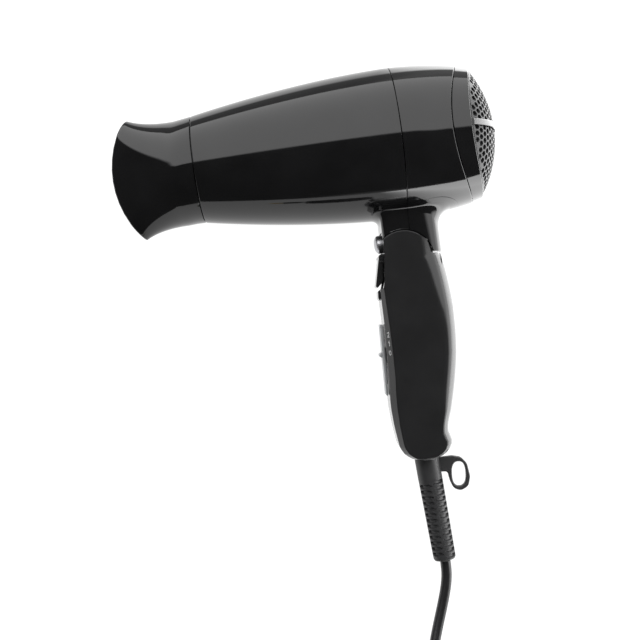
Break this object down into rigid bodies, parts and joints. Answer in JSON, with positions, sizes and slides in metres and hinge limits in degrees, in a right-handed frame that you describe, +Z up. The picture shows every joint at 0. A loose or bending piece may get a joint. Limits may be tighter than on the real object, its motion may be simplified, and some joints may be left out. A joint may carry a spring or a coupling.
{
  "type": "folding travel hair dryer",
  "caption": "Compact folding travel hair dryer with a concentrator nozzle, lying on its side, with handle switch, cool-shot button, rear intake grille and coiled mains cord with plug.",
  "frame": {"origin": "on the surface that the dryer lies on, under the centre of the box round the dryer without its free cord", "axes": "+X along the barrel from the nozzle to the intake grille, +Y across the surface from the handle to the barrel, +Z up"},
  "size_m": [0.1992, 0.3813, 0.0775],
  "materials": {
    "gloss_shell": "high gloss black",
    "satin_handle": "satin black",
    "rubber": "matt black",
    "chrome": "polished",
    "silver": "silver paint",
    "steel": "zinc plated",
    "brass": "plain",
    "mica": "pressed mica sheet",
    "nichrome": "oxidised resistance wire",
    "dark_plastic": "moulded, satin",
    "pale_plastic": "moulded, natural"
  },
  "bodies": {
    "barrel": {"front_barrel_shell": "gloss_shell", "rear_housing": "gloss_shell", "outlet_grille": "dark_plastic", "mica_sleeve": "mica", "mica_cross": "mica", "air_baffle": "dark_plastic", "heating_coil_front": "nichrome", "heating_coil_rear": "nichrome", "thermostat": "steel", "thermal_fuse": "pale_plastic", "motor_mount": "pale_plastic", "motor_can": "steel", "rectifier_board": "pale_plastic", "hinge_knuckle": "dark_plastic", "hinge_pin": "steel", "hinge_washer_left": "steel", "hinge_washer_right": "steel", "cool_shot_spring": "steel", "cool_shot_microswitch": "dark_plastic", "latch_pin": "steel", "latch_leaf_spring": "steel"},
    "handle": {"handle_left_shell": "satin_handle", "handle_right_shell": "satin_handle", "latch_strike": "satin_handle", "handle_screw_upper": "steel", "handle_screw_lower": "steel", "switch_body": "dark_plastic", "switch_terminal_1": "brass", "switch_terminal_2": "brass", "switch_terminal_3": "brass", "heat_diode": "dark_plastic", "cord_clamp": "pale_plastic", "live_lead": "dark_plastic", "neutral_lead": "pale_plastic", "strain_relief": "rubber", "cord_lead": "rubber", "cord_coil": "rubber", "cord_tie": "satin_handle", "cord_tail": "rubber", "plug_body": "rubber", "plug_blade_1": "brass", "plug_blade_2": "brass"},
    "slider": {"slider_plate": "silver"},
    "cool_shot": {"cool_shot_button": "chrome"},
    "latch": {"fold_latch": "satin_handle"},
    "fan": {"motor_shaft": "steel", "fan_rotor": "dark_plastic"},
    "snap_ring": {"nozzle_snap_ring": "dark_plastic"},
    "nozzle": {"nozzle_concentrator": "gloss_shell"},
    "rear_cap": {"rear_filter_cap": "gloss_shell", "intake_grille": "dark_plastic", "grille_band": "dark_plastic", "filter_screen": "steel"}
  },
  "joints": [
    {"name": "handle_fold", "type": "hinge", "parent": "barrel", "child": "handle", "pos_m": [0.04264, 0.02781, 0.02981], "axis": [0, 0.1461, -0.9893], "range_deg": [0, 95]},
    {"name": "switch_slide", "type": "slide", "parent": "handle", "child": "slider", "axis": [0.0349, 0.9887, 0.146], "range_m": [0, 0.0095]},
    {"name": "cool_shot_press", "type": "slide", "parent": "barrel", "child": "cool_shot", "axis": [1, 0, 0], "range_m": [0, 0.0015], "stiffness_N_per_m": 900, "springref_m": -0.0015},
    {"name": "fold_latch_press", "type": "hinge", "parent": "barrel", "child": "latch", "pos_m": [0.03184, 0.03058, 0.03022], "axis": [0, -0.1461, 0.9893], "range_deg": [0, 8], "stiffness_Nm_per_rad": 0.3, "springref_deg": -8.59},
    {"name": "fan_spin", "type": "hinge", "parent": "barrel", "child": "fan", "pos_m": [0.05964, 0.08835, 0.03875], "axis": [1, 0, 0], "continuous": true},
    {"name": "nozzle_pull", "type": "slide", "parent": "barrel", "child": "snap_ring", "axis": [-1, 0, 0], "range_m": [0, 0.026]},
    {"name": "nozzle_swivel", "type": "hinge", "parent": "snap_ring", "child": "nozzle", "pos_m": [-0.05236, 0.08835, 0.03875], "axis": [1, 0, 0], "continuous": true},
    {"name": "rear_cap_pull", "type": "slide", "parent": "barrel", "child": "rear_cap", "axis": [1, 0, 0], "range_m": [0, 0.02]}
  ]
}
